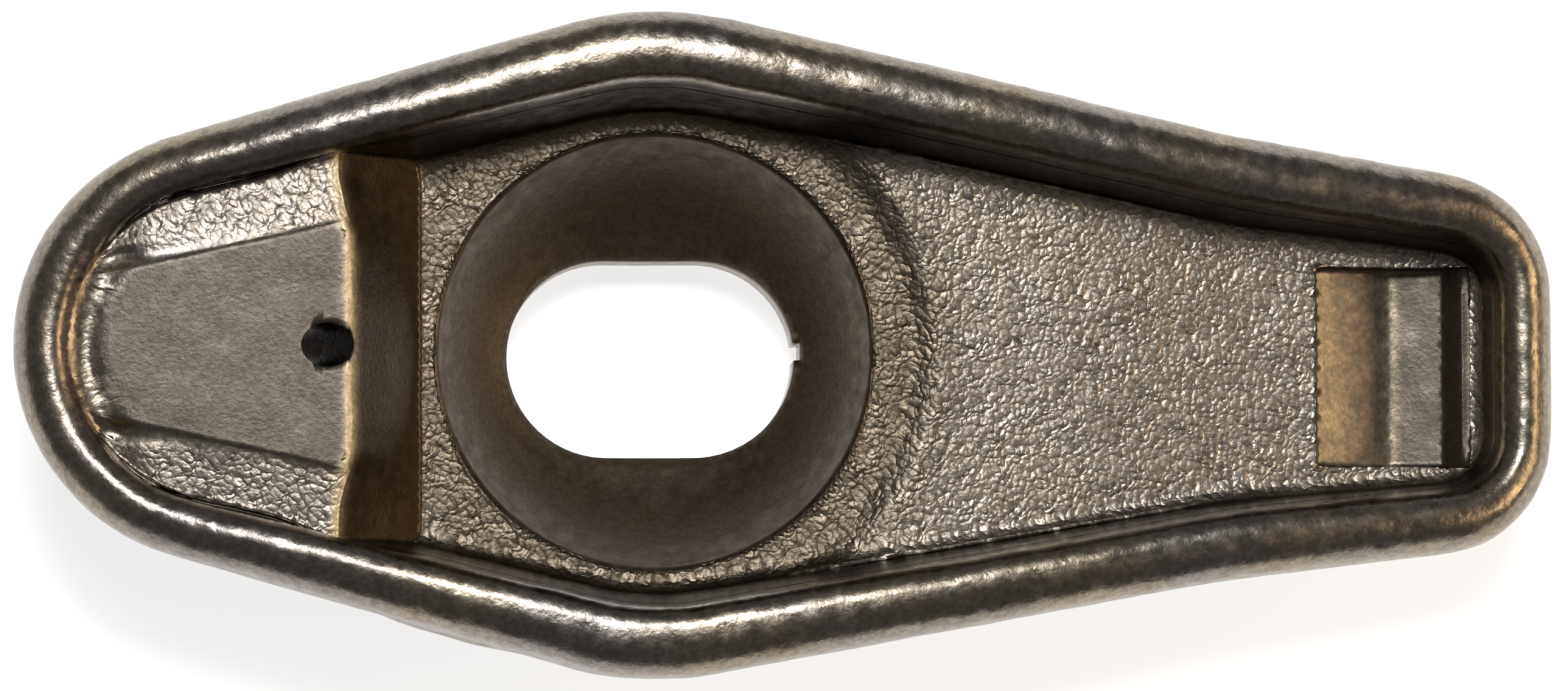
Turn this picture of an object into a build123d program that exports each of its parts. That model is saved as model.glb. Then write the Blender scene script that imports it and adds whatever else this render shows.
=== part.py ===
from build123d import *
from math import hypot, radians, sqrt, tan
import os

# Rocker arm for a ball-stud valve train: one pressed and coined steel piece.
# The origin is the centre of the pivot ball, +X runs to the valve tip, +Y across
# the arm and +Z up the stud, out of the arm's open side. All sizes in millimetres.

# ---- Pivot -----------------------------------------------------------------
SEAT_RADIUS = 13.0            # spherical seat that the pivot ball rocks in
SEAT_EDGE_DROP = 4.2          # the seat breaks out into the floor this far below the pivot
SEAT_LEDGE = 1.3              # least width of floor between the seat and the side walls
SEAT_METAL = 3.7              # metal between the seat and the round belly below it
STUD_SLOT_WIDTH = 11.3        # slot that the stud passes through
STUD_SLOT_LENGTH = 16.4
NICK_DEPTH = 0.35             # small nick in the valve end of the stud slot
NICK_WIDTH = 1.0
NICK_SIDE = 0.35              # how far the nick lies off the slot's centre line

# ---- Arms ------------------------------------------------------------------
PUSHROD_ARM = 23.9            # pivot to pushrod cup
VALVE_ARM = 42.2              # pivot to the line where the pad touches the valve
TIP_SET_OVER = -0.7           # the tip's centre line stands this far across the arm

# ---- Plan of the walls, measured level with the pivot centre ----------------
PIVOT_WALL = 4.4              # wall beside the pivot
NOSE_RADIUS = 12.1            # outside of the round nose at the pushrod end
NOSE_WALL = 3.5
WAIST_FROM_TIP = 14.1         # the flanks bend slightly inwards this far before the tip's corners
WAIST_HOLLOW = 0.55           # depth of that bend below the straight run of the flank
WAIST_ROUND = 40.0            # radius of that bend
WAIST_WALL = 3.7
TIP_OVERHANG = 8.8            # metal beyond the valve line
TIP_HALF_WIDTH = 10.85
TIP_CORNER = 6.8              # outside corner at the tip
TIP_SIDE_WALL = 3.2
TIP_END_WALL = 2.5
CAVITY_CORNER = 3.7           # inside corner at the tip
OUTER_DRAFT = 1.0             # degrees that the outside leans in towards the bottom
INNER_DRAFT = 8.0             # degrees that the inside leans in towards the floor

# ---- Heights seen from the side --------------------------------------------
RIM_AT_NOSE = 2.8             # the rim runs in one arc through these three heights
RIM_AT_PIVOT = 5.0
RIM_AT_TIP = -3.4
RIM_OUTER_ROUND = 2.1         # rounding of the rim, outside and inside
RIM_INNER_ROUND = 1.3
SHEET = 3.5                   # metal thickness under the floor
FLOOR_FLAT = 13.6             # the floor is level this far each side of the pivot
PUSHROD_FLOOR_RISE = 13.0     # degrees that the floor climbs towards the nose
VALVE_FLOOR_FALL = 6.5        # degrees that the floor drops towards the tip
FLOOR_BEND = 15.0             # radius where the floor changes slope
WALL_FOOT = 1.0               # round between the floor and the walls
BELLY_FOOT = 2.5              # hollow round where the belly swells out of the underside
BELLY_CORNER = 4.0            # outside round between the underside and the walls

# ---- Coined land over the pushrod cup ---------------------------------------
LAND_HEIGHT = 2.3
LAND_STEP = 6.7               # cup's centre to the step that ends the land
LAND_HALF_AT_STEP = 7.1
LAND_HALF_AT_NOSE = 3.8
LAND_SIDE_DRAFT = 58.0        # degrees that the land's shoulders lean out to the walls
LAND_EDGE = 0.5               # rounding of the land's edges
LAND_SINK = 0.8               # the land runs this far into the walls
BAND_RUN = 4.1                # length along the arm of the smooth slope at the step

# ---- Pushrod cup and its oil hole -------------------------------------------
CUP_RADIUS = 4.76             # takes a 3/8 inch pushrod ball
CUP_DROP = 5.0                # centre of the cup below the pivot centre
CUP_LIP = 1.0                 # the boss ends this far below the cup's centre
CUP_BOSS_RADIUS = 7.0
CUP_BOSS_ROUND = 1.2
CUP_ROOF = 1.0                # the boss ends this far under the land, inside the metal
OIL_HOLE = 2.5
OIL_HOLE_FROM_STEP = 1.2      # centre of the hole's mouth back from the step

# ---- Valve tip ---------------------------------------------------------------
POCKET_LENGTH = 8.8           # pocket struck in the floor over the pad
POCKET_WIDTH = 11.3
POCKET_LIP = 0.2              # drop at the pocket's inner end
POCKET_DEPTH = 2.0            # deepest line of the pocket below the floor
POCKET_RISE = 0.4             # climb from that line to the foot of the outer slope
POCKET_WALL_RUN = 1.4         # slope at the pocket's outer end, along the arm
PAD_RADIUS = 11.0             # curved pad that pushes the valve
PAD_DROP = 12.3               # lowest line of the pad below the pivot centre
PAD_WIDTH = 9.6
PAD_LENGTH = 10.4

NODE = "rocker_arm"


# ---- Heights worked out from the sizes above ---------------------------------
SEAT_EDGE_Z = -SEAT_EDGE_DROP
SEAT_EDGE_RADIUS = sqrt(SEAT_RADIUS ** 2 - SEAT_EDGE_DROP ** 2)
BELLY_RADIUS = SEAT_RADIUS + SEAT_METAL
CAVITY_PIVOT_RADIUS = SEAT_EDGE_RADIUS + SEAT_LEDGE + SEAT_EDGE_DROP * tan(radians(INNER_DRAFT))
PIVOT_RADIUS = CAVITY_PIVOT_RADIUS + PIVOT_WALL
TIP_END = VALVE_ARM + TIP_OVERHANG
STEP_X = -PUSHROD_ARM + LAND_STEP
TIP_FLOOR_Z = SEAT_EDGE_Z - (VALVE_ARM - FLOOR_FLAT) * tan(radians(VALVE_FLOOR_FALL))
CLEAR = 1.0                   # by this much the drafted walls start and end outside the metal
TOP = RIM_AT_PIVOT + CLEAR
BOTTOM = -BELLY_RADIUS - CLEAR
REACH = 2 * TIP_END           # runs every cutting shape past the metal


def outline(circles):
    """Closed face of arcs and straight tangents round circles listed anticlockwise.

    A circle of negative radius lies outside the face, and makes a hollow bend.
    """
    leaves = []
    arrives = []
    for (centre, radius), (next_centre, next_radius) in zip(circles, circles[1:] + circles[:1]):
        along = (Vector(*next_centre) - Vector(*centre))
        lean = (radius - next_radius) / along.length
        along = along.normalized()
        outward = along * lean + Vector(along.Y, -along.X) * sqrt(1 - lean ** 2)
        leaves.append(Vector(*centre) + outward * radius)
        arrives.append(Vector(*next_centre) + outward * next_radius)
    edges = []
    for i, (centre, radius) in enumerate(circles):
        spread = (arrives[i - 1] - Vector(*centre)) + (leaves[i] - Vector(*centre))
        crown = Vector(*centre) + spread.normalized() * abs(radius)
        edges.append(Edge.make_three_point_arc(arrives[i - 1], crown, leaves[i]))
        edges.append(Edge.make_line(leaves[i], arrives[i]))
    return Face(Wire(edges))


def waist_centre(side):
    """Centre of the hollow bend in one flank, measured from the flank's straight run."""
    corner = Vector(TIP_END - TIP_CORNER, TIP_SET_OVER + side * (TIP_HALF_WIDTH - TIP_CORNER))
    lean = (PIVOT_RADIUS - TIP_CORNER) / corner.length
    slope = sqrt(1 - lean ** 2)
    along = corner.normalized()
    outward = along * lean + Vector(-along.Y, along.X) * side * slope
    run = Vector(outward.Y, -outward.X) * side
    bend = corner.length * slope - WAIST_FROM_TIP
    centre = run * bend + outward * (PIVOT_RADIUS - WAIST_HOLLOW + WAIST_ROUND)
    return centre.X, centre.Y


def walls(pivot_wall, waist_wall, tip_end, tip_half, tip_corner, nose_radius, draft):
    """Solid inside a drafted wall whose plan is given level with the pivot centre."""
    grow = TOP * tan(radians(draft))
    pivot = PIVOT_RADIUS - pivot_wall + grow
    waist = -WAIST_ROUND - waist_wall + grow
    corner = tip_corner + grow
    corner_x = tip_end - tip_corner
    corner_y = tip_half - tip_corner
    plan = outline([
        ((0, 0), pivot),
        (waist_centre(-1), waist),
        ((corner_x, TIP_SET_OVER - corner_y), corner),
        ((corner_x, TIP_SET_OVER + corner_y), corner),
        (waist_centre(1), waist),
        ((0, 0), pivot),
        ((-PUSHROD_ARM, 0), nose_radius + grow),
    ])
    upside_down = extrude(plan, amount=TOP - BOTTOM, taper=draft)
    return Pos(0, 0, TOP) * mirror(upside_down, about=Plane.XY)


def circle_through(a, b, c):
    """Centre and radius of the circle through three (x, z) points."""
    turn = 2 * (a[0] * (b[1] - c[1]) + b[0] * (c[1] - a[1]) + c[0] * (a[1] - b[1]))
    squares = [p[0] ** 2 + p[1] ** 2 for p in (a, b, c)]
    x = (squares[0] * (b[1] - c[1]) + squares[1] * (c[1] - a[1]) + squares[2] * (a[1] - b[1])) / turn
    z = (squares[0] * (c[0] - b[0]) + squares[1] * (a[0] - c[0]) + squares[2] * (b[0] - a[0])) / turn
    return x, z, hypot(a[0] - x, a[1] - z)


def below_rim():
    """Everything under the long arc that the rim follows."""
    nose = (-PUSHROD_ARM - NOSE_RADIUS, RIM_AT_NOSE)
    x, z, radius = circle_through(nose, (0, RIM_AT_PIVOT), (TIP_END, RIM_AT_TIP))
    disc = Cylinder(radius, REACH, rotation=(90, 0, 0))
    return Pos(x, 0, z) * disc


def floor_path(drop):
    """Side view of the floor, lowered by drop and run past both ends of the arm."""
    level = SEAT_EDGE_Z - drop
    rise = (REACH - FLOOR_FLAT) * tan(radians(PUSHROD_FLOOR_RISE))
    fall = (REACH - FLOOR_FLAT) * tan(radians(VALVE_FLOOR_FALL))
    points = [(-REACH, level + rise), (-FLOOR_FLAT, level), (FLOOR_FLAT, level), (REACH, level - fall)]
    return FilletPolyline([(x, 0, z) for x, z in points], radius=FLOOR_BEND)


def above(path):
    """Everything over a side-view path."""
    start = path @ 0
    end = path @ 1
    up = Vector(0, 0, REACH)
    loop = path.edges() + [
        Edge.make_line(end, end + up),
        Edge.make_line(end + up, start + up),
        Edge.make_line(start + up, start),
    ]
    return extrude(Face(Wire(loop)), amount=REACH, both=True)


def border(part, on_patch):
    """Edges round the patch of faces whose corners all pass the test."""
    patch = [face for face in part.faces() if all(on_patch(v) for v in face.vertices())]
    edges = [edge for face in patch for edge in face.edges()]
    return [edge for edge in edges if sum(edge.is_same(other) for other in edges) == 1]


def round_foot(part, path, radius):
    """Rounds the border between a floor that follows the path and the walls."""
    def on_path(vertex):
        return path.distance_to(Vertex(vertex.X, 0, vertex.Z)) < 0.001
    return part.fillet(radius, border(part, on_path))


def blank():
    """Outside of the pressing: drafted walls, arched rim, rounded underside and belly."""
    body = walls(0, 0, TIP_END, TIP_HALF_WIDTH, TIP_CORNER, NOSE_RADIUS, OUTER_DRAFT)
    under = floor_path(SHEET)
    body = (body & below_rim() & above(under)).solid()
    body = round_foot(body, under, BELLY_CORNER)
    return body


def belly_foot(arm):
    """Edges where the belly meets the underside of the pressing."""
    belly_faces = [face for face in arm.faces() if face.geom_type == GeomType.SPHERE]
    edges = [edge for face in belly_faces for edge in face.edges()]
    return [edge for edge in edges if edge.geom_type != GeomType.LINE and edge.length > 0.01
            and sum(edge.is_same(other) for other in edges) == 1]


def side_solid(points, half_width, centre_y=0.0):
    """Prism across the arm from a side view given as (x, z) points."""
    loop = Polyline([(x, centre_y, z) for x, z in points], close=True)
    return extrude(Face(Wire(loop.edges())), amount=half_width, both=True)


def land():
    """Raised land over the cup: shoulders down to the walls and one long slope at the step."""
    depth = LAND_HEIGHT - SEAT_EDGE_Z
    spread = depth * tan(radians(LAND_SIDE_DRAFT))
    nose_x = -PUSHROD_ARM - NOSE_RADIUS
    start_x = nose_x - spread
    foot_x = STEP_X + BAND_RUN
    widen = (LAND_HALF_AT_STEP - LAND_HALF_AT_NOSE) / (STEP_X - nose_x - NOSE_WALL)

    def half_width(x):
        return LAND_HALF_AT_STEP + (x - STEP_X) * widen + spread

    plan = Polyline(
        (start_x, -half_width(start_x), SEAT_EDGE_Z), (REACH, -half_width(REACH), SEAT_EDGE_Z),
        (REACH, half_width(REACH), SEAT_EDGE_Z), (start_x, half_width(start_x), SEAT_EDGE_Z), close=True)
    sides = extrude(Face(Wire(plan.edges())), amount=depth, taper=LAND_SIDE_DRAFT)
    step = side_solid([
        (start_x, SEAT_EDGE_Z), (foot_x, SEAT_EDGE_Z),
        (STEP_X, LAND_HEIGHT), (start_x, LAND_HEIGHT)], REACH)
    block = (sides & step).solid()
    top = block.faces().sort_by(Axis.Z)[-1]
    kept = [edge for edge in top.edges() if edge.center().X > nose_x + NOSE_WALL]
    return block.fillet(LAND_EDGE, kept)


def inside(sink):
    """Drafted inside of the walls, grown into the metal by sink."""
    return walls(
        PIVOT_WALL - sink, WAIST_WALL - sink, TIP_END - TIP_END_WALL + sink,
        TIP_HALF_WIDTH - TIP_SIDE_WALL + sink, CAVITY_CORNER + sink,
        NOSE_RADIUS - NOSE_WALL + sink, INNER_DRAFT)


def cavity():
    """Space inside the arm: between the walls and over the floor."""
    floor = floor_path(0)
    space = (inside(0) & above(floor)).solid()
    return round_foot(space, floor, WALL_FOOT)


def round_rim(arm):
    """Rounds the rim, first along its outside and then along its inside."""
    def ring():
        rings = [face for face in arm.faces() if face.inner_wires()]
        return max(rings, key=lambda face: face.bounding_box().size.X)
    arm = arm.fillet(RIM_OUTER_ROUND, ring().outer_wire().edges())
    return arm.fillet(RIM_INNER_ROUND, ring().inner_wires()[0].edges())


def stud_slot():
    """Round-ended slot with a small nick in its valve end, cut right through."""
    slot = SlotOverall(STUD_SLOT_LENGTH, STUD_SLOT_WIDTH)
    nick_x = STUD_SLOT_LENGTH / 2
    nick = Pos(nick_x, NICK_SIDE) * Rectangle(2 * NICK_DEPTH, NICK_WIDTH)
    return extrude(slot + nick, amount=REACH, both=True)


def cup_boss():
    """Boss under the land that the cup is sunk into."""
    foot = -CUP_DROP - CUP_LIP
    height = LAND_HEIGHT - CUP_ROOF - foot
    boss = Pos(-PUSHROD_ARM, 0, foot) * Cylinder(
        CUP_BOSS_RADIUS, height, align=(Align.CENTER, Align.CENTER, Align.MIN))
    return fillet(boss.edges().group_by(Axis.Z)[0], CUP_BOSS_ROUND)


def cup():
    """Ball socket for the pushrod, open downwards."""
    throat = Cylinder(CUP_RADIUS, REACH, align=(Align.CENTER, Align.CENTER, Align.MAX))
    return oil_hole_plane() * Sphere(CUP_RADIUS) + Pos(-PUSHROD_ARM, 0, -CUP_DROP) * throat


def oil_hole_plane():
    """Plane at the cup's centre that faces the mouth of the oil hole."""
    mouth = Vector(STEP_X - OIL_HOLE_FROM_STEP, 0, LAND_HEIGHT)
    centre = Vector(-PUSHROD_ARM, 0, -CUP_DROP)
    return Plane(origin=centre, z_dir=mouth - centre)


def oil_hole():
    """Slanted hole from the edge of the land down into the cup."""
    drill = Cylinder(OIL_HOLE / 2, REACH, align=(Align.CENTER, Align.CENTER, Align.MIN))
    return oil_hole_plane() * drill


def pocket():
    """Pocket struck in the floor over the pad: a shallow vee with a sloped outer end."""
    inner = VALVE_ARM - POCKET_LENGTH / 2
    outer = VALVE_ARM + POCKET_LENGTH / 2
    deepest = TIP_FLOOR_Z - POCKET_DEPTH
    side = [
        (inner, RIM_AT_PIVOT),
        (inner, TIP_FLOOR_Z - POCKET_LIP),
        (VALVE_ARM, deepest),
        (outer - POCKET_WALL_RUN, deepest + POCKET_RISE),
        (outer, TIP_FLOOR_Z),
        (outer, RIM_AT_PIVOT),
    ]
    return side_solid(side, POCKET_WIDTH / 2, TIP_SET_OVER)


def pad():
    """Curved pad under the tip."""
    barrel = Pos(VALVE_ARM, TIP_SET_OVER, PAD_RADIUS - PAD_DROP) * Cylinder(
        PAD_RADIUS, PAD_WIDTH, rotation=(90, 0, 0))
    under = Pos(VALVE_ARM, TIP_SET_OVER, TIP_FLOOR_Z - POCKET_DEPTH) * Box(
        PAD_LENGTH, PAD_WIDTH, REACH, align=(Align.CENTER, Align.CENTER, Align.MAX))
    return barrel & under


def rocker_arm():
    """The whole arm as one solid."""
    arm = blank()
    belly = Sphere(BELLY_RADIUS)
    below_floor = Pos(0, 0, SEAT_EDGE_Z) * Box(
        REACH, REACH, REACH, align=(Align.CENTER, Align.CENTER, Align.MAX))
    arm = (arm + (belly & below_floor)).solid()
    arm = arm.fillet(BELLY_FOOT, belly_foot(arm))
    arm = arm + cup_boss() + pad()
    arm = arm.solid() - cavity()
    arm = round_rim(arm.solid()) + (land() & inside(LAND_SINK))
    for hollow in (Sphere(SEAT_RADIUS), stud_slot(), cup(), oil_hole(), pocket()):
        arm = arm - hollow
    return arm.solid()


if __name__ == "__main__":
    os.makedirs("parts", exist_ok=True)
    export_step(rocker_arm(), "parts/" + NODE + ".step")
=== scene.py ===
from math import radians, tan

import bmesh
import bpy
import numpy as np
from mathutils import Matrix, Vector, noise


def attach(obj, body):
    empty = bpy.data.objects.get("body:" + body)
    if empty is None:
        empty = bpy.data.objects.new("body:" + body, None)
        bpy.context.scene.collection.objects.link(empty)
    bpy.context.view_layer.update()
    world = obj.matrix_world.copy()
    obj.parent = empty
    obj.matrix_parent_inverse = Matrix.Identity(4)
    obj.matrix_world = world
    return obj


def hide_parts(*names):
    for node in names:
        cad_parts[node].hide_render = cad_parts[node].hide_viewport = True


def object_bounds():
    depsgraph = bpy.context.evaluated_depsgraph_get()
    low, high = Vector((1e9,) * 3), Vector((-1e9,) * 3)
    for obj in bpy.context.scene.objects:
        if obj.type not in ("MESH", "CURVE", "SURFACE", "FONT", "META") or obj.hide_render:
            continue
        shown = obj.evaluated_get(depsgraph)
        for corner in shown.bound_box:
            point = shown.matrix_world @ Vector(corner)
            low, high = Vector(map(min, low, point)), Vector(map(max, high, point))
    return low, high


# The rocker arm's looks. The mesh work is in millimetres, in the frame of the CAD
# model: the pivot's centre is the origin, +X runs to the valve tip and +Z is up.
# A pair of limits gives where a feature starts and where it has its full strength.
MM = 0.001

# ---- Forms of the arm, as in the CAD model -------------------------------------
SEAT_RADIUS = 13.0
SEAT_EDGE_Z = -4.2
SEAT_EDGE_RADIUS = 12.3
RIM = ((-36.0, 2.8), (0.0, 5.0), (51.0, -3.4))    # (x, z) points of the rim's long arc
NOSE_X = -23.9                # centre of the round nose
STEP_X = -17.2                # top edge of the step that ends the land
STEP_FOOT_X = -13.1
LAND_Z = 2.3
LAND_HALF_AT_STEP = 7.1
LAND_WIDEN = 0.217            # growth of the land's half width along X
SHOULDER_SLOPE = 32.0         # degrees
SHOULDER_WORN_SLOPE = 5.0     # degrees, as it looks once forged
POCKET_X = (37.8, 46.6)
POCKET_Y = (-6.35, 4.95)
CUP_CENTRE = (-23.9, 0.0, -5.0)
HOLE_MOUTH = (-18.4, 0.0, 2.3)
HOLE_RADIUS = 1.25
HOLE_KEPT = (1.8, 2.8)        # nothing moves nearer to its axis than the first of these
ON_SEAT = 0.1                 # points this near the seat's sphere keep to it
SEAT_FINISH = 0.12            # and those this near it have its finish

# ---- What forging and wear add ----------------------------------------------
RING_RADII = (14.3, 16.3)     # the floor steps up round the seat between these radii
RING_RISE = 0.55
RING_START_X = (1.0, 9.0)     # on the valve side of the seat
RING_FADE_X = (22.0, 38.0)    # and comes back to its own level between these
STEP_BOW = 2.3                # the step's ends stand this far back from the drafted plan
STEP_BOW_Y = (5.5, 11.5)
STEP_BOW_LENGTH = 6.0         # length of land that moves with the step's edge
STEP_WAVER = 0.12             # waviness of the edge, and the length of its waves
STEP_WAVE = 1.6
SHOULDER_WIDTH = 3.5
SHOULDER_LIFT_X = (-33.0, -28.0)
LIP_GROOVE = 0.3              # groove between the nose and the land
GROOVE_INNER = (6.8, 7.9)     # radii of its two sides about the nose's centre
GROOVE_OUTER = (8.2, 8.9)
GROOVE_X = (28.0, 29.5)       # distance towards the pushrod end
GROOVE_Y = (4.5, 6.0)         # it fades between these distances from the middle
BULGE = 0.6                   # swelling low on the near flank
BULGE_START_X = (-17.5, -13.5)
BULGE_END_X = (-10.0, -7.0)
BULGE_TOP = (3.5, 6.0)        # depths below the pivot
BULGE_FOOT = (9.0, 13.0)
BULGE_Y = (8.0, 11.0)
UNEVEN = 0.05                 # slow unevenness of every forged surface
UNEVEN_SIZE = 2.2

# ---- Mesh density, as the longest edge in each region --------------------------
FINE_EDGE = 0.6
RIM_EDGE = 0.8
HIDDEN_EDGE = 3.0
FLOOR_DEPTH = 2.4             # the floor lies at least this far below the rim
BELLY_Z = -10.0
SHARP_ANGLE = 35.0
SMOOTH_PASSES = 4
DIVIDE_PASSES = 6

# ---- Steel: colours, wear and relief ---------------------------------------------
OXIDE = ((0.265, 0.24, 0.22, 1), (0.31, 0.265, 0.205, 1))
OXIDE_PATCH = 9.0             # size of its patches
SPECKLE_COLOUR = (0.05, 0.042, 0.034, 1)
SPECKLE = 0.32                # how strongly the dark speckle shows
SPECKLE_SIZE = 0.35
# How much of the oxide each region's colour covers, and the colour, in the order laid on
REGION_COLOURS = {
    "pebbles": (0.7, (0.34, 0.30, 0.255, 1)),
    "near_seat": (0.85, (0.12, 0.095, 0.065, 1)),
    "land": (0.9, (0.15, 0.13, 0.11, 1)),
    # Painted shade: the steep face of the step, dark brown
    "band_painted_shade": (0.95, (0.125, 0.093, 0.058, 1)),
    "seat": (0.95, (0.155, 0.123, 0.09, 1)),
    "pocket": (0.9, (0.36, 0.30, 0.22, 1)),
    # Painted shade: the pocket's far half, nearly black, standing for a dark reflection
    "pocket_far_painted_shade": (0.8, (0.06, 0.055, 0.05, 1)),
    # Painted shade: the inner walls, nearly black
    "wall_painted_shade": (0.92, (0.035, 0.029, 0.023, 1)),
    # Painted highlight: the step's top edge, bright gold
    "step_edge_painted_highlight": (1.0, (1.0, 0.84, 0.56, 1)),
    # Painted shade: the oil hole's bore, nearly black
    "hole_painted_shade": (1.0, (0.04, 0.034, 0.03, 1)),
}
# Roughness from the smoothest to the roughest spots of the rim and of each region
RIM_ROUGHNESS = (0.24, 0.37)
REGION_ROUGHNESS = {
    "pebbles": (0.33, 0.47),
    "land": (0.49, 0.54),
    "band_painted_shade": (0.35, 0.5),
    "seat": (0.42, 0.55),
    "pocket": (0.36, 0.48),
    "step_edge_painted_highlight": (0.6, 0.6),
}
WEAR_SIZE = 0.95
PEBBLE_SIZE = 0.36
PEBBLE_HEIGHT = 0.055
PEBBLE_BEND = (0.7, -0.9, 0.5)    # how far the wear pulls the pebbles out of shape
HAMMER_HEIGHT = 0.045
SKIN_SIZE = 0.22
SKIN_HEIGHTS = (0.014, 0.026)     # of the fine grain, on smooth and on coined faces
DIE_LINE = (2.9, 3.15)            # depth below the rim of the line where the dies met
DIE_LINE_HEIGHT = 0.12

# ---- Camera ------------------------------------------------------------------
# The photograph's frame, and the pixel and height at which the seat's edge lies in it
FRAME_WIDTH_PX = 2576
FRAME_HEIGHT_PX = 1136
SEAT_CENTRE_PX = (1075, 578)
PX_PER_MM = 29.1
CAMERA_DISTANCE = 0.6
LEAN_BACK = 3.0               # degrees that the line of sight leans towards the pushrod end
LEAN_NEAR = 3.5               # degrees that it leans towards the near wall

# ---- Floor and light, in metres and watts --------------------------------------
FLOOR_SIZE = 6.0
FLOOR_GAP = 0.0002            # below the lowest point of the arm
FLOOR_PAINT = (0.8, 0.8, 0.8, 1)
FLOOR_GLOW = 0.75
WORLD_GLOW = 0.12
# Name, azimuth, tilt from straight above, distance, size, power and colour
LAMPS = (
    ("key", 0, -19, 0.6, (0.2, 0.16), 2.2, (1, 1, 1)),
    ("warm_side", 90, 62, 0.5, (0.3, 0.15), 0.6, (1.0, 0.74, 0.46)),
)

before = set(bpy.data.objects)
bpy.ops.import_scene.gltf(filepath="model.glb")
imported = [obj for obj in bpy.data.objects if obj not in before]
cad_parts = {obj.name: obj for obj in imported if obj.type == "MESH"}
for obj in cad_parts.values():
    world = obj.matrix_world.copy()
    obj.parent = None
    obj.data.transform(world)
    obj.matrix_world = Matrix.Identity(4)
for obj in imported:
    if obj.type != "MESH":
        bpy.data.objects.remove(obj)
cad_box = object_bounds()


# ---- Small mathematics ----------------------------------------------------------
def ramp(value, start, end):
    """Smooth rise from 0 at start to 1 at end."""
    t = np.clip((value - start) / (end - start), 0, 1)
    return t * t * (3 - 2 * t)


def rim_height(x):
    """Height of the rim's arc over x."""
    (ax, az), (bx, bz), (cx, cz) = RIM
    return (az * (x - bx) * (x - cx) / ((ax - bx) * (ax - cx))
            + bz * (x - ax) * (x - cx) / ((bx - ax) * (bx - cx))
            + cz * (x - ax) * (x - bx) / ((cx - ax) * (cx - bx)))


def grain(points, size, seed):
    """Smooth random value from -1 to 1 at each point, with features of that size."""
    shift = Vector((seed, 2 * seed, 3 * seed))
    return np.array([noise.noise(Vector(p) / size + shift) for p in points])


# ---- Mesh ------------------------------------------------------------------------
def welded_cad():
    """The CAD mesh in millimetres, joined into one closed skin of triangles."""
    skin = bmesh.new()
    skin.from_mesh(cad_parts["rocker_arm"].data)
    bmesh.ops.scale(skin, vec=(1 / MM, 1 / MM, 1 / MM), verts=skin.verts)
    bmesh.ops.remove_doubles(skin, verts=skin.verts, dist=0.002)
    bmesh.ops.triangulate(skin, faces=skin.faces)
    skin.normal_update()
    return skin


def longest_edge(face):
    """How long the edges of this face may be."""
    centre = face.calc_center_median()
    below_rim = rim_height(centre.x) - centre.z
    if face.normal.z < -0.03 or centre.z < BELLY_Z:
        return HIDDEN_EDGE
    faces_up = face.normal.z > 0.3
    if faces_up and below_rim > FLOOR_DEPTH and centre.length > SEAT_RADIUS + 0.05:
        return FINE_EDGE
    return RIM_EDGE


def divide(skin):
    """Splits the edges that are too long for the finest region they touch."""
    for _ in range(DIVIDE_PASSES):
        long_edges = set()
        for face in skin.faces:
            limit = longest_edge(face)
            long_edges.update(edge for edge in face.edges if edge.calc_length() > limit)
        if not long_edges:
            break
        bmesh.ops.subdivide_edges(skin, edges=list(long_edges), cuts=1)
        bmesh.ops.triangulate(skin, faces=[face for face in skin.faces if len(face.verts) > 3])
        skin.normal_update()


def smooth(points, edges, pinned):
    """Evens out the facets of the round surfaces, with crisp edges left where they are."""
    count = np.bincount(edges.ravel(), minlength=len(points))[:, None]
    for _ in range(SMOOTH_PASSES):
        total = np.zeros_like(points)
        for axis in range(3):
            total[:, axis] = (
                np.bincount(edges[:, 0], points[edges[:, 1], axis], len(points))
                + np.bincount(edges[:, 1], points[edges[:, 0], axis], len(points)))
        moved = points + 0.5 * (total / count - points)
        points = np.where(pinned[:, None], points, moved)
    return points


def seat_gap(points):
    """How far each point lies off the sphere of the seat."""
    return np.abs(np.linalg.norm(points, axis=1) - SEAT_RADIUS)


def oil_hole_distance(points):
    """Distance of each point from the slanted axis of the oil hole."""
    start, end = np.array(CUP_CENTRE), np.array(HOLE_MOUTH)
    along = (end - start) / np.linalg.norm(end - start)
    away = points - start
    return np.linalg.norm(away - (away @ along)[:, None] * along, axis=1)


def land_half_width(x):
    """Half the width of the land's flat top."""
    return LAND_HALF_AT_STEP + (x - STEP_X) * LAND_WIDEN


def step_edge_x(y, half_width):
    """Where the step's top edge lies, which runs down the slope past the shoulders."""
    drop = np.clip(np.abs(y) - half_width, 0, None) * tan(radians(SHOULDER_SLOPE))
    return STEP_X + drop * (STEP_FOOT_X - STEP_X) / (LAND_Z - SEAT_EDGE_Z)


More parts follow.
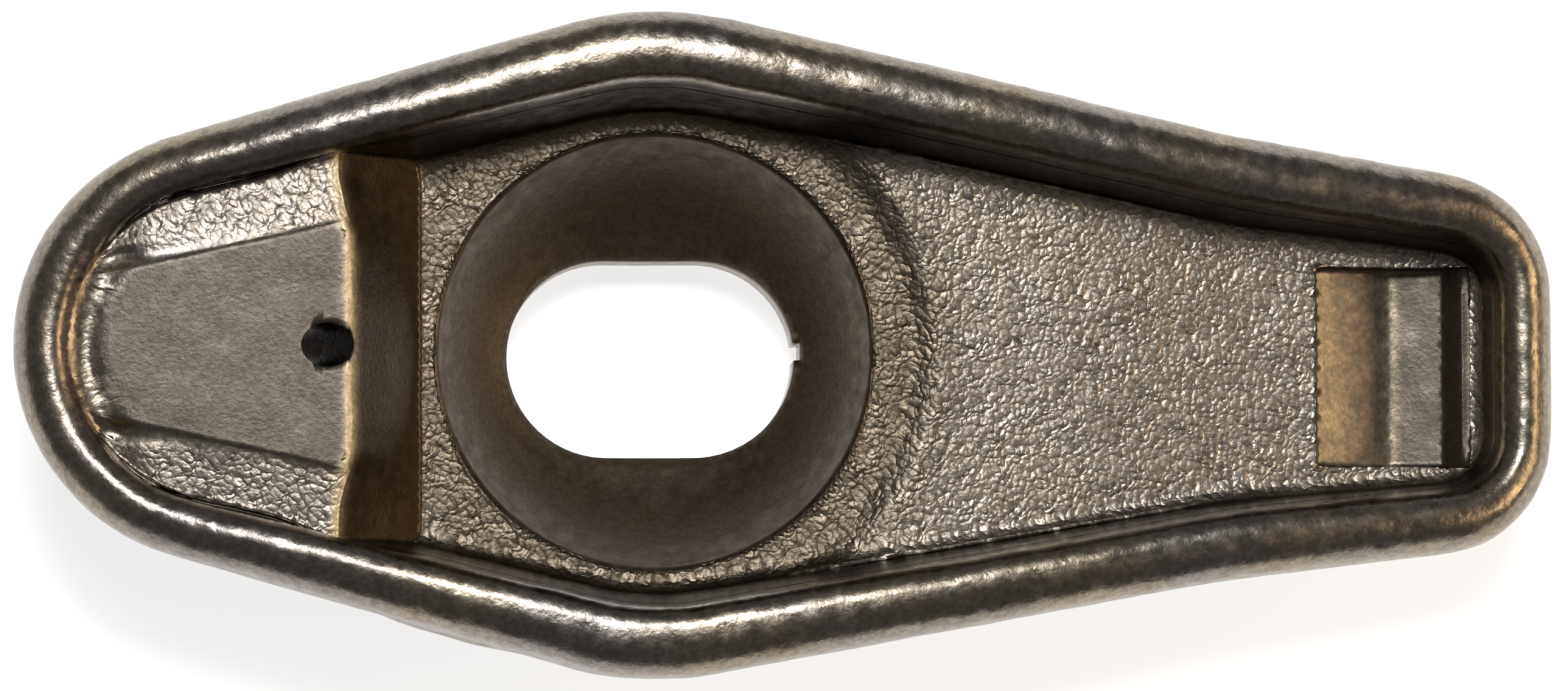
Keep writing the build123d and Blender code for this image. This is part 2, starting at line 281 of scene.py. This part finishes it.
def forged_offsets(points, normals):
    """How far forging and wear move each point from the drafted CAD shape."""
    x, y, z = points.T
    up = normals[:, 2]
    below_rim = rim_height(x) - z
    across = np.hypot(x, y)
    offsets = np.zeros_like(points)

    # The floor rises in a ring round the seat on the valve side
    on_floor = ramp(up, 0.2, 0.7) * ramp(below_rim, 2.0, 4.0) * ramp(x, *RING_START_X)
    ring = ramp(across, *RING_RADII) * (1 - ramp(x, *RING_FADE_X))
    offsets[:, 2] += RING_RISE * ring * on_floor

    # The step's ends bow back, so that it crosses the arm in one line
    edge_x = step_edge_x(y, LAND_HALF_AT_STEP)
    up_slope = ramp(-x, -STEP_FOOT_X, -edge_x)
    near_edge = up_slope * ramp(x, edge_x - STEP_BOW_LENGTH, edge_x)
    faces_in = (up > 0.4) | (-np.sign(y) * normals[:, 1] > 0.3)
    inside = ramp(below_rim, 1.4, 2.4) * faces_in
    waver = STEP_WAVER * grain(points * (0, 1, 0), STEP_WAVE, 11)
    bow = STEP_BOW * ramp(np.abs(y), *STEP_BOW_Y)
    offsets[:, 0] += near_edge * inside * (waver - bow)

    # The land's shoulders fall more gently than the drafted ones
    drafted, worn = tan(radians(SHOULDER_SLOPE)), tan(radians(SHOULDER_WORN_SLOPE))
    beyond = np.clip(np.abs(y) - land_half_width(x), 0, SHOULDER_WIDTH)
    above_shoulder = z - (LAND_Z - beyond * drafted)
    lift = beyond * (drafted - worn) * up_slope * ramp(x, *SHOULDER_LIFT_X)
    offsets[:, 2] += lift * inside * (1 - ramp(above_shoulder, 0.2, 2.4))

    # A groove parts the land from the lip of the nose
    from_nose = np.hypot(x - NOSE_X, y)
    groove = ramp(from_nose, *GROOVE_INNER) * (1 - ramp(from_nose, *GROOVE_OUTER))
    groove *= ramp(-x, *GROOVE_X) * (1 - ramp(np.abs(y), *GROOVE_Y))
    offsets[:, 2] -= LIP_GROOVE * groove * ramp(up, 0.3, 0.8) * (z > LAND_Z - 0.8)

    # The near flank swells low down beside the belly
    swelling = ramp(x, *BULGE_START_X) * (1 - ramp(x, *BULGE_END_X))
    swelling *= ramp(-z, *BULGE_TOP) * (1 - ramp(-z, *BULGE_FOOT)) * ramp(-y, *BULGE_Y)
    offsets[:, 1] -= BULGE * swelling

    # Slow unevenness all over, except on the machined seat and the stud slot
    machined = (seat_gap(points) < ON_SEAT) & (z < SEAT_EDGE_Z + ON_SEAT)
    rough = np.where(machined | (across < SEAT_EDGE_RADIUS), 0, UNEVEN)
    offsets += normals * (rough * grain(points, UNEVEN_SIZE, 5))[:, None]
    return offsets * ramp(oil_hole_distance(points), *HOLE_KEPT)[:, None]


def region_masks(points, normals):
    """Where each kind of surface lies, and where shade or a highlight is painted, as values from 0
    to 1 at each point.
    """
    x, y, z = points.T
    up = normals[:, 2]
    below_rim = rim_height(x) - z
    across = np.hypot(x, y)
    from_hole = oil_hole_distance(points)
    half = land_half_width(x)

    seat = (seat_gap(points) < SEAT_FINISH) & (z < SEAT_EDGE_Z + SEAT_FINISH)
    in_slot = (across < SEAT_EDGE_RADIUS - 0.3) & (z < SEAT_EDGE_Z)
    slot = in_slot & ~seat & (np.abs(up) < 0.3)
    # The oil hole's bore, which is painted dark as shade
    hole_painted_shade = (from_hole < HOLE_RADIUS + 0.05) & (z < LAND_Z - 0.02)

    lip = ramp(np.hypot(x - NOSE_X, y), 6.6, 7.6) * ramp(-x, 27.5, 29.5)
    land = ramp(half - np.abs(y), -0.5, 0.6) * (z > LAND_Z - 0.6)
    land *= ramp(-x, -STEP_X - 0.2, -STEP_X + 0.2) * (1 - ramp(-x, 32.0, 34.5))
    land *= 1 - lip

    on_step = (x > STEP_X - 1.5) & (x < STEP_FOOT_X + 0.6)
    # The step's steep face, which is darkened with painted shade
    band_painted_shade = (np.abs(normals[:, 0]) > 0.6) * on_step * ramp(below_rim, 2, 3)
    edge_x = step_edge_x(y, half)
    # A narrow strip along the step's top edge that carries a painted highlight
    step_edge_painted_highlight = np.exp(-((x - edge_x) / 0.35) ** 2) * (up > 0.4) * ramp(below_rim, 1.0, 2.0)

    pocket = (x > POCKET_X[0] - 0.05) & (x < POCKET_X[1] + 0.05)
    pocket &= (y > POCKET_Y[0] - 0.05) & (y < POCKET_Y[1] + 0.05)
    pocket &= (below_rim > 3.2) & (up > -0.1)

    pebbles = ramp(below_rim, 1.9, 2.8) * ramp(up, 0.25, 0.6)
    for smoother in (seat, slot, land, band_painted_shade, pocket, hole_painted_shade):
        pebbles = pebbles * (1 - smoother)

    # Inner walls that face the middle of the arm, where shade is painted
    wall_painted_shade = ramp(below_rim, 1.2, 2.2) * (1 - ramp(up, 0.3, 0.6)) * (z > -9)
    wall_painted_shade *= (-np.sign(y) * normals[:, 1] > 0.3) & ~slot & ~seat & (from_hole > HOLE_KEPT[0])
    return {
        "seat": seat * 1.0,
        "slot": slot * 1.0,
        "land": land,
        "band_painted_shade": band_painted_shade,
        "pocket": pocket * 1.0,
        # The pocket's far half, darkened with painted shade
        "pocket_far_painted_shade": pocket * ramp(x, 42.0, 43.0),
        "hole_painted_shade": hole_painted_shade * 1.0,
        "near_seat": pebbles * (1 - ramp(across, 14.5, 19)),
        "wall_painted_shade": wall_painted_shade,
        "step_edge_painted_highlight": step_edge_painted_highlight,
        "pebbles": pebbles,
        "below_rim": below_rim,
    }


def build_arm():
    """The finished arm: the CAD skin, finely divided, then forged and worn."""
    skin = welded_cad()
    divide(skin)
    skin.normal_update()
    sharp = radians(SHARP_ANGLE)
    crisp_edges = [edge for edge in skin.edges if edge.calc_face_angle(0) > sharp]
    crisp = [vert.index for edge in crisp_edges for vert in edge.verts]
    mesh = bpy.data.meshes.new("rocker_arm_finished")
    skin.to_mesh(mesh)
    skin.free()
    points = np.empty(3 * len(mesh.vertices))
    mesh.vertices.foreach_get("co", points)
    points = points.reshape(-1, 3)
    edges = np.empty(2 * len(mesh.edges), np.int32)
    mesh.edges.foreach_get("vertices", edges)
    pinned = np.zeros(len(points), bool)
    pinned[crisp] = True
    pinned |= oil_hole_distance(points) < HOLE_KEPT[0]
    points = smooth(points, edges.reshape(-1, 2), pinned)
    seat = (seat_gap(points) < ON_SEAT) & ~pinned & (points[:, 2] < SEAT_EDGE_Z)
    points[seat] *= (SEAT_RADIUS / np.linalg.norm(points[seat], axis=1))[:, None]
    mesh.vertices.foreach_set("co", points.ravel())
    mesh.update()
    normals = np.empty(3 * len(points))
    mesh.vertices.foreach_get("normal", normals)
    normals = normals.reshape(-1, 3)
    for name, values in region_masks(points, normals).items():
        layer = mesh.attributes.new(name, "FLOAT", "POINT")
        layer.data.foreach_set("value", values.astype(np.float32))
    points = (points + forged_offsets(points, normals)) * MM
    mesh.vertices.foreach_set("co", points.ravel())
    mesh.update()
    mesh.shade_smooth()
    mesh.set_sharp_from_angle(angle=sharp)
    arm = bpy.data.objects.new("rocker_arm_finished", mesh)
    bpy.context.scene.collection.objects.link(arm)
    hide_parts("rocker_arm")
    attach(arm, "root")
    return arm


# ---- Steel -----------------------------------------------------------------------
class Nodes:
    """A short way to write a material's nodes."""

    def __init__(self, material):
        material.use_nodes = True
        self.tree = material.node_tree
        self.tree.nodes.clear()

    def add(self, kind, inputs=(), **settings):
        node = self.tree.nodes.new("ShaderNode" + kind)
        for key, value in settings.items():
            setattr(node, key, value)
        for key, value in dict(inputs).items():
            if isinstance(value, bpy.types.NodeSocket):
                self.tree.links.new(value, node.inputs[key])
            else:
                node.inputs[key].default_value = value
        return node

    def attribute(self, name):
        return self.add("Attribute", attribute_name=name).outputs["Fac"]

    def maths(self, operation, a, b):
        return self.add("Math", {0: a, 1: b}, operation=operation).outputs[0]

    def largest(self, first, *others):
        for other in others:
            first = self.maths("MAXIMUM", first, other)
        return first

    def fit(self, value, low, high, to_low=0.0, to_high=1.0):
        node = self.add("MapRange", {
            "Value": value, "From Min": low, "From Max": high, "To Min": to_low, "To Max": to_high})
        return node.outputs[0]

    def blend(self, factor, a, b):
        node = self.add("Mix", {0: factor, 6: a, 7: b}, data_type="RGBA")
        return node.outputs[2]

    def pick(self, factor, a, b):
        node = self.add("Mix", {0: factor, 2: a, 3: b}, data_type="FLOAT")
        return node.outputs[0]

    def noise(self, place, size, detail, rough=0.5):
        node = self.add("TexNoise", {
            "Vector": place, "Scale": 1 / (size * MM), "Detail": detail, "Roughness": rough})
        return node.outputs["Fac"]


def steel_material():
    """Dark, oiled forged steel: peened floor, satin rim, smooth coined and machined faces, with
    painted shade and a painted highlight laid into its colour.
    """
    steel = bpy.data.materials.new("forged_steel")
    n = Nodes(steel)
    place = n.add("TexCoord").outputs["Object"]
    region = {name: n.attribute(name) for name in (*REGION_COLOURS, "slot", "below_rim")}

    # Colour: a brown-grey oxide, lighter where it is rubbed, golden in patches, with painted shade
    # on the inner walls, the step's face, the oil hole and the pocket's far half, and a painted
    # highlight on the step's top edge
    patches = n.fit(n.noise(place, OXIDE_PATCH, 2.0), 0.4, 0.62)
    colour = n.blend(patches, *OXIDE)
    for name, (cover, paint) in REGION_COLOURS.items():
        colour = n.blend(n.maths("MULTIPLY", region[name], cover), colour, paint)
    speckle = n.fit(n.noise(place, SPECKLE_SIZE, 2.0, 0.65), 0.42, 0.6)
    colour = n.blend(speckle, n.blend(SPECKLE, colour, SPECKLE_COLOUR), colour)

    # Roughness
    worn = n.noise(place, WEAR_SIZE, 1.0)
    rough = n.fit(worn, 0.3, 0.7, *RIM_ROUGHNESS)
    for name, (smoothest, roughest) in REGION_ROUGHNESS.items():
        rough = n.pick(region[name], rough, n.fit(worn, 0.3, 0.7, smoothest, roughest))

    # Relief, in millimetres: pebbles on the floor, hammer marks on the rim, a fine skin
    bend = tuple(length * MM for length in PEBBLE_BEND)
    bent = n.add("VectorMath", {0: worn, 1: bend}, operation="MULTIPLY").outputs[0]
    bent = n.add("VectorMath", {0: place, 1: bent}, operation="ADD").outputs[0]
    cell = n.add("TexVoronoi", {"Vector": bent, "Scale": 1 / (PEBBLE_SIZE * MM)}, feature="F1")
    from_middle = cell.outputs["Distance"]
    hollow = n.maths("MULTIPLY", from_middle, from_middle)
    pebbles = n.maths("MULTIPLY", n.maths("MULTIPLY", hollow, -PEBBLE_HEIGHT), region["pebbles"])
    flat = n.largest(*(region[name] for name in (
        "pebbles", "seat", "pocket", "band_painted_shade", "land", "hole_painted_shade", "slot")))
    forged = n.maths("SUBTRACT", 1.0, flat)
    hammer = n.maths("MULTIPLY", n.maths("MULTIPLY", worn, HAMMER_HEIGHT), forged)
    coined = n.largest(region["land"], region["band_painted_shade"], region["pebbles"])
    skin = n.maths("MULTIPLY", n.noise(place, SKIN_SIZE, 1.0, 0.6), n.pick(coined, *SKIN_HEIGHTS))
    die_line = n.fit(region["below_rim"], *DIE_LINE, 0.0, DIE_LINE_HEIGHT)
    relief = n.maths("MULTIPLY", die_line, forged)
    for part in (skin, hammer, pebbles):
        relief = n.maths("ADD", relief, part)
    bump = n.add("Bump", {"Height": relief, "Distance": MM, "Strength": 1.0})

    shader = n.add("BsdfPrincipled", {
        "Base Color": colour, "Metallic": 1.0, "Roughness": rough, "Normal": bump.outputs[0]})
    output = n.add("OutputMaterial")
    n.tree.links.new(shader.outputs[0], output.inputs[0])
    return steel


# ---- Studio ------------------------------------------------------------------------
def make_camera():
    """Looks almost straight down, as the photograph does."""
    to_px = MM / PX_PER_MM
    target = Vector((
        (FRAME_WIDTH_PX / 2 - SEAT_CENTRE_PX[0]) * to_px,
        (SEAT_CENTRE_PX[1] - FRAME_HEIGHT_PX / 2) * to_px,
        SEAT_EDGE_Z * MM))
    back = Vector((-tan(radians(LEAN_BACK)), -tan(radians(LEAN_NEAR)), 1)).normalized()
    up = back.cross(Vector((1, 0, 0))).normalized()
    right = up.cross(back)
    data = bpy.data.cameras.new("camera")
    camera = bpy.data.objects.new("camera", data)
    bpy.context.scene.collection.objects.link(camera)
    turn = Matrix((right, up, back)).transposed()
    camera.matrix_world = Matrix.Translation(target + back * CAMERA_DISTANCE) @ turn.to_4x4()
    data.sensor_width = 36
    data.lens = data.sensor_width * CAMERA_DISTANCE / (FRAME_WIDTH_PX * to_px)
    data.clip_start = 0.01
    bpy.context.scene.camera = camera


def softbox(name, azimuth, tilt, distance, size, power, colour):
    """A rectangular lamp that faces the arm, tilt degrees from straight above."""
    data = bpy.data.lights.new(name, "AREA")
    data.shape = "RECTANGLE"
    data.size, data.size_y = size
    data.energy = power
    data.color = colour
    light = bpy.data.objects.new(name, data)
    bpy.context.scene.collection.objects.link(light)
    turn = Matrix.Rotation(radians(azimuth), 3, "Z") @ Matrix.Rotation(radians(tilt), 3, "X")
    light.location = turn @ Vector((0, 0, distance))
    light.rotation_euler = turn.to_euler()


def make_floor():
    """A plain white floor under the arm that keeps its shadow."""
    low = min(p[2] for p in cad_box)
    bpy.ops.mesh.primitive_plane_add(size=FLOOR_SIZE, location=(0, 0, low - FLOOR_GAP))
    floor = bpy.context.object
    floor.name = "floor"
    white = bpy.data.materials.new("white_floor")
    n = Nodes(white)
    path = n.add("LightPath").outputs
    seen = n.largest(*(path[ray] for ray in (
        "Is Camera Ray", "Is Glossy Ray", "Is Transmission Ray")))
    paint = n.add("BsdfDiffuse", {"Color": FLOOR_PAINT})
    glow = n.add("Emission", {"Color": (1, 1, 1, 1), "Strength": FLOOR_GLOW})
    dark = n.add("Emission", {"Color": (0, 0, 0, 1), "Strength": 0.0})
    chosen = n.add("MixShader", {0: seen, 1: dark.outputs[0], 2: glow.outputs[0]})
    both = n.add("AddShader", {0: paint.outputs[0], 1: chosen.outputs[0]})
    output = n.add("OutputMaterial")
    n.tree.links.new(both.outputs[0], output.inputs[0])
    floor.data.materials.append(white)


def make_world():
    """An even, weak light from everywhere."""
    world = bpy.data.worlds.new("world")
    bpy.context.scene.world = world
    world.use_nodes = True
    background = world.node_tree.nodes["Background"]
    background.inputs[0].default_value = (1, 1, 1, 1)
    background.inputs[1].default_value = WORLD_GLOW


arm = build_arm()
arm.data.materials.append(steel_material())
make_camera()
make_floor()
make_world()
for lamp in LAMPS:
    softbox(*lamp)
bpy.context.scene.view_settings.view_transform = "Standard"
